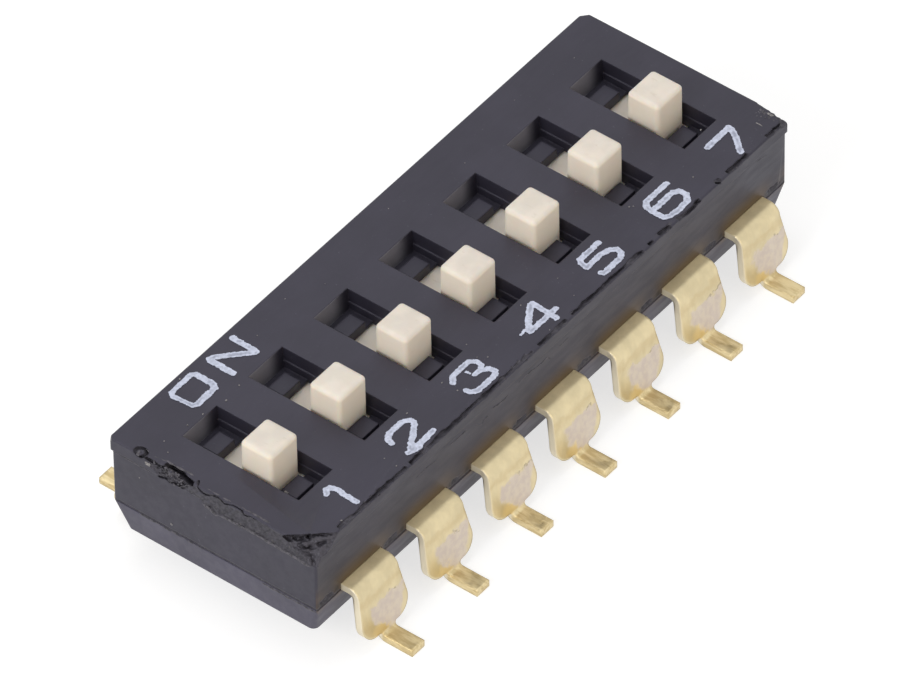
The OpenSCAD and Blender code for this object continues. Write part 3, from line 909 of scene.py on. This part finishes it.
class DIPSWITCH_OT_cover(bpy.types.Operator):
    """Moulded cover with torn edges, in place of the plain solid"""

    bl_idname = "dip_switch.cover"
    bl_label = "Cover"

    def execute(self, context):
        look = look_of(context)
        cut = look.tear_depth
        cover = link("moulded_cover", merged_copy("cover", "moulded_cover"))
        whole, torn = black_plastic(look), torn_plastic(look)
        cover.data.materials.append(whole)
        cover.data.materials.append(torn)
        strip = flash_strip()
        strip.data.materials.append(torn)
        combine(cover, [strip], "UNION")
        end_y = np.linspace(-3.4, 3.4, 380)
        side, base = np.linspace(-9.5, 9.5, 700), np.linspace(-9.6, 9.6, 420)
        edges = [
            ("end_cutter", end_y, (0.72, 46), (0.34, 22), end_tear, place_end, cut),
            ("far_end_cutter", end_y[::2], (0.24, 12), (0.10, 6), far_end_tear, place_far_end, cut),
            ("side_cutter", side, (0.16, 12), (0.20, 18), side_tear, place_side, cut),
            ("parting_cutter", end_y[::2], (0.16, 10), (0.05, 5), parting_tear, place_end_foot, cut, 0.4),
            ("parting_side_cutter", base, (0.4, 20), (0.05, 5), parting_side_tear, place_side_foot, cut, 0.4),
        ]
        corners = [
            ("near_chip", (-END_X, -SIDE_Y, DECK_Z), (0.80, 0.87, 0.68), 81, cut, CHIP_GASHES),
            ("far_wear", (END_X, -SIDE_Y, DECK_Z), (-0.14, 0.95, 0.16), 91, cut),
            ("far_chip", (END_X, -SIDE_Y, DECK_Z), (-0.34, 0.26, 0.2), 93, cut),
            ("far_on_wear", (END_X, SIDE_Y, DECK_Z), (-0.2, -0.2, 0.8), 95, cut * 0.5),
            ("low_on_wear", (-END_X, SIDE_Y, DECK_Z), (0.1, -0.1, 0.5), 97, cut * 0.3),
        ]
        tools = [edge_cutter(*edge) for edge in edges] + [corner_cutter(*corner) for corner in corners]
        for tool in tools:
            tool.data.materials.append(torn)
        combine(cover, tools, "DIFFERENCE")
        shade(cover.data, SHARP, flat_slot=0)
        cover.data.transform(Matrix.Scale(MM, 4))
        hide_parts("cover")
        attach(cover, "housing")
        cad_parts["base"].data.materials[0] = black_plastic(look, "moulded_base_painted_sheen", BASE_PAINTED_SHEEN_LEVEL)
        return {"FINISHED"}


class DIPSWITCH_OT_toggles(bpy.types.Operator):
    """Smooth cream toggles, in place of the faceted solids"""

    bl_idname = "dip_switch.toggles"
    bl_label = "Toggles"

    def execute(self, context):
        cream = cream_plastic(look_of(context))
        for i, node in enumerate(SLIDERS, 1):
            piece = link(f"toggle_{i}", merged_copy(node, f"toggle_{i}", MM))
            shade(piece.data, SHARP)
            piece.data.materials.append(cream)
            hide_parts(node)
            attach(piece, f"slider_body_{i}")
        return {"FINISHED"}


class DIPSWITCH_OT_leads(bpy.types.Operator):
    """Stamped leads with rounded edges and worn plating"""

    bl_idname = "dip_switch.leads"
    bl_label = "Leads"

    def execute(self, context):
        look = look_of(context)
        gold = gold_plate(look)
        for node in LEADS:
            name = node.replace("_side_lead_", "_lead_plated_")
            mesh = merged_copy(node, name, MM)
            piece = link(name, mesh)
            shade(mesh, SHARP)
            mesh.materials.append(gold)
            edges = piece.modifiers.new("edges", "BEVEL")
            edges.width = look.lead_edge
            edges.segments = 3
            edges.limit_method = "ANGLE"
            edges.angle_limit = np.radians(BEVELLED)
            edges.harden_normals = True
            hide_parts(node)
            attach(piece, "housing")
        return {"FINISHED"}


class DIPSWITCH_OT_wipers(bpy.types.Operator):
    """Brass finish for the sliding contacts"""

    bl_idname = "dip_switch.wipers"
    bl_label = "Wipers"

    def execute(self, context):
        brass = brass_strip(look_of(context))
        for node in WIPERS:
            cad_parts[node].data.materials[0] = brass
        return {"FINISHED"}


class DIPSWITCH_OT_characters(bpy.types.Operator):
    """Painted numbers 1 to 7 and the word ON"""

    bl_idname = "dip_switch.characters"
    bl_label = "Characters"

    def execute(self, context):
        look = look_of(context)
        paint = character_paint(look)
        for i, (name, strokes) in enumerate(STROKES.items()):
            skin = stroke_mesh(f"paint_{name}", strokes, look.paint_height, 200 + 10 * i)
            piece = link(f"paint_{name}", skin)
            piece.data.materials.append(paint)
            wall = piece.modifiers.new("skin", "SOLIDIFY")
            wall.thickness = 1.5 * look.paint_height
            wall.offset = -1
            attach(piece, "housing")
        return {"FINISHED"}


# Pale specks: place on the deck and size across
DECK_SPECKS = [
    (-3.06, -2.06, 0.035), (-4.40, -2.03, 0.04), (-5.93, -2.55, 0.03), (-5.95, -2.93, 0.03),
    (-8.2, -3.02, 0.045), (-1.70, -2.40, 0.035), (-1.67, -1.72, 0.025), (-1.86, -2.2, 0.028),
    (-3.04, -2.52, 0.03), (-6.70, 1.70, 0.04), (-7.40, 1.86, 0.035), (-7.92, 1.92, 0.03),
    (-6.80, 3.05, 0.04), (-8.92, 1.72, 0.028), (-8.68, 2.03, 0.025), (-6.1, 1.78, 0.03),
    (0.20, -1.94, 0.03), (1.48, -2.08, 0.03), (1.25, -2.76, 0.025), (4.52, -1.95, 0.035),
    (4.60, -2.02, 0.03), (6.30, -2.56, 0.03), (7.75, -1.70, 0.04), (-0.05, -3.02, 0.025),
    (-4.5, 2.5, 0.022), (-2.1, 2.3, 0.02), (0.9, 2.7, 0.02), (3.3, 2.2, 0.02), (5.8, 2.6, 0.022),
    (-3.1, 2.75, 0.02), (7.9, 2.35, 0.02),
]
# Threads of flash on the number side: (along X, height)
SIDE_THREADS = [
    ([(-5.55, 3.12), (-5.2, 3.16), (-4.95, 3.14), (-4.6, 3.10)], 0.012),
    ([(-4.2, 3.20), (-3.8, 3.18), (-3.55, 3.20), (-3.42, 3.10)], 0.014),
    ([(-3.15, 3.14), (-3.05, 3.02), (-2.9, 2.90), (-2.75, 3.0), (-2.6, 3.02)], 0.02),
    ([(-2.5, 3.14), (-2.2, 3.08), (-2.0, 3.05), (-1.8, 3.12)], 0.02),
    ([(-1.45, 3.18), (-1.1, 3.20), (-0.8, 3.17), (-0.55, 3.14), (-0.3, 3.16), (-0.12, 2.95)], 0.016),
    ([(0.1, 3.18), (0.35, 3.15), (0.62, 3.18)], 0.014),
    ([(4.12, 3.62), (4.16, 3.48), (4.18, 3.36)], 0.02),
    ([(8.1, 3.28), (8.4, 3.24), (8.6, 3.18)], 0.01),
]
# Threads of flash on the low end: (along Y, height), the radius and how far they stand out
END_THREADS = [
    ([(-3.05, 3.20), (-2.55, 3.24), (-2.0, 3.245), (-1.35, 3.285), (-0.68, 3.27), (-0.25, 3.255),
      (-0.13, 3.19), (0.15, 3.30), (0.32, 3.33)], 0.034, 0.0),
    ([(1.9, 3.40), (2.4, 3.40), (3.1, 3.41)], 0.016, -0.01),
    ([(-3.12, PARTING_Z - 0.05), (-2.2, PARTING_Z - 0.05), (-1.4, PARTING_Z - 0.06)], 0.035, -0.065),
    ([(0.3, PARTING_Z - 0.025), (1.4, PARTING_Z - 0.02), (2.4, PARTING_Z - 0.02)], 0.02, -0.06),
]
# The ridge of torn plastic that hangs under the pit
DEBRIS = [(0.62, DECK_Z - 0.08), (0.8, DECK_Z - 0.2), (0.98, DECK_Z - 0.38), (1.08, DECK_Z - 0.44)]
# Burrs that the tears raised on the deck: (along Y, inwards from the edge)
BURRS = [
    ([(-1.75, 0.09), (-1.3, 0.1), (-0.9, 0.1), (-0.4, 0.09), (0.0, 0.09), (0.3, 0.08)], 0.026),
    ([(0.56, 0.16), (0.64, 0.22), (0.9, 0.235), (1.4, 0.24), (1.75, 0.2), (1.98, 0.15)], 0.028),
    ([(2.02, 0.2), (2.12, 0.24), (2.24, 0.25)], 0.024),
]
# Black crumbs in the tear at the low end: along Y, inwards, below the deck, half sizes and seed
LOW_CRUMBS = [
    (2.27, 0.04, 0.03, (0.07, 0.06, 0.06), 361),
    (1.80, 0.05, 0.05, (0.03, 0.03, 0.06), 363),
    (1.27, 0.06, 0.1, (0.05, 0.08, 0.07), 364),
    (1.44, 0.05, 0.12, (0.04, 0.05, 0.05), 365),
]
WINDOW_FLOOR_Z = DECK_Z - 0.41
# Pale crumbs: centre, half sizes and seed
PALE_CRUMBS = [
    ((-7.96, -1.14, WINDOW_FLOOR_Z + 0.012), (0.045, 0.055, 0.03), 360),
    ((-END_X, 1.97, DECK_Z - 0.17), (0.03, 0.1, 0.05), 362),
    ((END_X - 0.17, -2.72, DECK_Z), (0.04, 0.10, 0.014), 369),
    ((END_X - 0.61, -2.72, DECK_Z), (0.014, 0.11, 0.008), 370),
    ((-END_X + 0.06, 1.34, 1.93), (0.012, 0.035, 0.03), 367),
    ((-END_X + 0.06, 2.3, 2.93), (0.012, 0.02, 0.03), 368),
]
# How many crumbs are strewn by chance: in the tear at the low end, and on the worn far corner
FINE_CRUMBS, FAR_CRUMBS = 70, 26
CRUMB_SHARP = 60  # degrees, as SHARP, for crumbs and threads


class DIPSWITCH_OT_crumbs(bpy.types.Operator):
    """Dust on the deck, crumbs in the tears and threads of flash on the walls"""

    bl_idname = "dip_switch.crumbs"
    bl_label = "Crumbs"

    def execute(self, context):
        dust = [
            speck((x, y, DECK_Z + 0.2 * size), (0.7 * size, 0.55 * size, 0.3 * size), 300 + k)
            for k, (x, y, size) in enumerate(DECK_SPECKS)
        ]
        dust += [speck(*crumb) for crumb in PALE_CRUMBS]
        rubble = [
            speck((-END_X + inside, y, DECK_Z - drop), half, seed)
            for y, inside, drop, half, seed in LOW_CRUMBS
        ]
        random = np.random.default_rng(366)
        for k in range(FINE_CRUMBS):
            y, q = random.normal(1.28, 0.22), min(random.normal(-0.2, 0.1), -0.05)
            size = random.uniform(0.012, 0.032)
            x = -END_X + 0.065 + 0.02 * random.uniform(-1, 1)
            rubble.append(speck((x, y, DECK_Z + q), (size, 1.3 * size, size), 500 + k))
        for k in range(FAR_CRUMBS):
            x, y = END_X - abs(random.normal(0.1, 0.12)) - 0.16, random.uniform(-2.95, -2.4)
            size = random.uniform(0.010, 0.026)
            rubble.append(speck((x, y, DECK_Z), (1.5 * size, size, 0.4 * size), 600 + k))
        powder = link("dust", join_parts("dust", dust))
        powder.data.materials.append(pale_crumb())
        threads = [bead(path, r, 400 + k, on_side, 0.0) for k, (path, r) in enumerate(SIDE_THREADS)]
        threads.append(bead(DEBRIS, 0.022, 430, on_end, -0.01))
        threads += [bead(path, r, 440 + k, on_end, lift) for k, (path, r, lift) in enumerate(END_THREADS)]
        threads += [bead(path, r, 460 + k, on_deck, -0.4 * r) for k, (path, r) in enumerate(BURRS)]
        thread = link("flash_threads", join_parts("flash_threads", threads + rubble))
        thread.data.materials.append(grey_thread())
        for piece in (powder, thread):
            shade(piece.data, CRUMB_SHARP)
            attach(piece, "housing")
        return {"FINISHED"}


# ---------------------------------------------------------------- studio

FLOOR_HALF = 600.0
FLOOR_GREY = 0.45
# Strength as light on the object, and where it is seen
FLOOR_GLOW = (0.30, 0.68)
WORLD_GLOW = (0.52, 1.0)
# Lamps, aimed at the object: place, power, width and colour
LAMPS = {
    "key": ((-180, 20, 115), 0.17, 110, (1.0, 1.0, 1.0)),
    "fill": ((-40, -200, 90), 0.075, 110, (1.0, 0.87, 0.70)),
    "top": ((20, 40, 215), 0.09, 90, (1.0, 1.0, 1.0)),
}
SENSOR_WIDTH = 36
FOCAL_LENGTH = 528.752
CAMERA_PLACE = (-179.5369, -143.2985, 229.1142)
CAMERA_RIGHT = (0.6153898, -0.7881435, -0.0111918)
CAMERA_UP = (0.5594264, 0.4267147, 0.7106030)


def glow_of(tree, as_light, seen):
    """A strength: one value for the light on the object, and another for what is seen.

    Seen are the rays from the camera, and those that gloss mirrors or glass lets through.
    """
    path = tree.nodes.new("ShaderNodeLightPath")
    total = path.outputs["Is Camera Ray"]
    for kind in ("Is Glossy Ray", "Is Transmission Ray"):
        larger = tree.nodes.new("ShaderNodeMath")
        larger.operation = "MAXIMUM"
        tree.links.new(total, larger.inputs[0])
        tree.links.new(path.outputs[kind], larger.inputs[1])
        total = larger.outputs[0]
    level = tree.nodes.new("ShaderNodeMapRange")
    level.inputs["To Min"].default_value = as_light
    level.inputs["To Max"].default_value = seen
    tree.links.new(total, level.inputs["Value"])
    return level.outputs["Result"]


def paper_floor():
    """A matt grey floor that glows, so that it looks white and keeps a shadow."""
    paper = bpy.data.materials.new("paper")
    paper.use_nodes = True
    tree = paper.node_tree
    shader = tree.nodes["Principled BSDF"]
    shader.inputs["Base Color"].default_value = (FLOOR_GREY, FLOOR_GREY, FLOOR_GREY, 1)
    shader.inputs["Roughness"].default_value = 0.9
    shader.inputs["Specular IOR Level"].default_value = 0.0
    shader.inputs["Emission Color"].default_value = (1, 1, 1, 1)
    tree.links.new(glow_of(tree, *FLOOR_GLOW), shader.inputs["Emission Strength"])
    corners = np.array([(-1, -1, 0), (1, -1, 0), (1, 1, 0), (-1, 1, 0)]) * FLOOR_HALF * MM
    floor = link("floor", make_mesh("floor", corners, [[0, 1, 2, 3]]))
    floor.data.materials.append(paper)
    return floor


def white_world():
    """An even white surround."""
    world = bpy.data.worlds.new("studio")
    world.use_nodes = True
    tree = world.node_tree
    background = tree.nodes["Background"]
    background.inputs["Color"].default_value = (1, 1, 1, 1)
    tree.links.new(glow_of(tree, *WORLD_GLOW), background.inputs["Strength"])
    return world


def stand(name, data, right, up, place):
    """A lamp or camera at a place in millimetres, its own X and Y along right and up."""
    turn = np.eye(4)
    turn[:3, :3] = np.stack([right, up, np.cross(right, up)], 1)
    turn[:3, 3] = np.array(place) * MM
    holder = bpy.data.objects.new(name, data)
    bpy.context.scene.collection.objects.link(holder)
    holder.matrix_world = Matrix(turn.tolist())
    return holder


class DIPSWITCH_OT_studio(bpy.types.Operator):
    """Pale floor, soft lights, a white surround and the camera"""

    bl_idname = "dip_switch.studio"
    bl_label = "Studio"

    def execute(self, context):
        scene = context.scene
        paper_floor()
        scene.world = white_world()
        for name, (place, power, width, colour) in LAMPS.items():
            lamp = bpy.data.lights.new(name, "AREA")
            lamp.energy = power
            lamp.color = colour
            lamp.size = width * MM
            back = np.array(place) / np.linalg.norm(place)
            right = np.cross((0, 0, 1), back)
            right /= np.linalg.norm(right)
            stand(name, lamp, right, np.cross(back, right), place)
        camera = bpy.data.cameras.new("camera")
        camera.sensor_width = SENSOR_WIDTH
        camera.lens = FOCAL_LENGTH
        camera.clip_start = 0.01
        camera.clip_end = 10
        scene.camera = stand("camera", camera, CAMERA_RIGHT, CAMERA_UP, CAMERA_PLACE)
        scene.view_settings.view_transform = "Standard"
        return {"FINISHED"}


class DIPSWITCH_PT_finish(bpy.types.Panel):
    """Lists the pieces of the finish"""

    bl_idname = "DIPSWITCH_PT_finish"
    bl_label = "Dip Switch"
    bl_space_type = "VIEW_3D"
    bl_region_type = "UI"
    bl_category = "Dip Switch"

    def draw(self, context):
        look = look_of(context)
        for name in look.bl_rna.properties.keys():
            if name not in ("rna_type", "name"):
                self.layout.prop(look, name)
        for operator in OPERATORS:
            self.layout.operator(operator.bl_idname)


OPERATORS = (
    DIPSWITCH_OT_cover,
    DIPSWITCH_OT_toggles,
    DIPSWITCH_OT_leads,
    DIPSWITCH_OT_wipers,
    DIPSWITCH_OT_characters,
    DIPSWITCH_OT_crumbs,
    DIPSWITCH_OT_studio,
)
CLASSES = (DipSwitchFinish, *OPERATORS, DIPSWITCH_PT_finish)


def register():
    """Registers the classes and the settings."""
    for item in CLASSES:
        bpy.utils.register_class(item)
    bpy.types.Scene.dip_switch_finish = PointerProperty(type=DipSwitchFinish)


def unregister():
    """Takes them off again."""
    del bpy.types.Scene.dip_switch_finish
    for item in reversed(CLASSES):
        bpy.utils.unregister_class(item)


def main():
    """Builds every piece."""
    register()
    for operator in OPERATORS:
        family, name = operator.bl_idname.split(".")
        getattr(getattr(bpy.ops, family), name)()


if __name__ == "__main__":
    main()
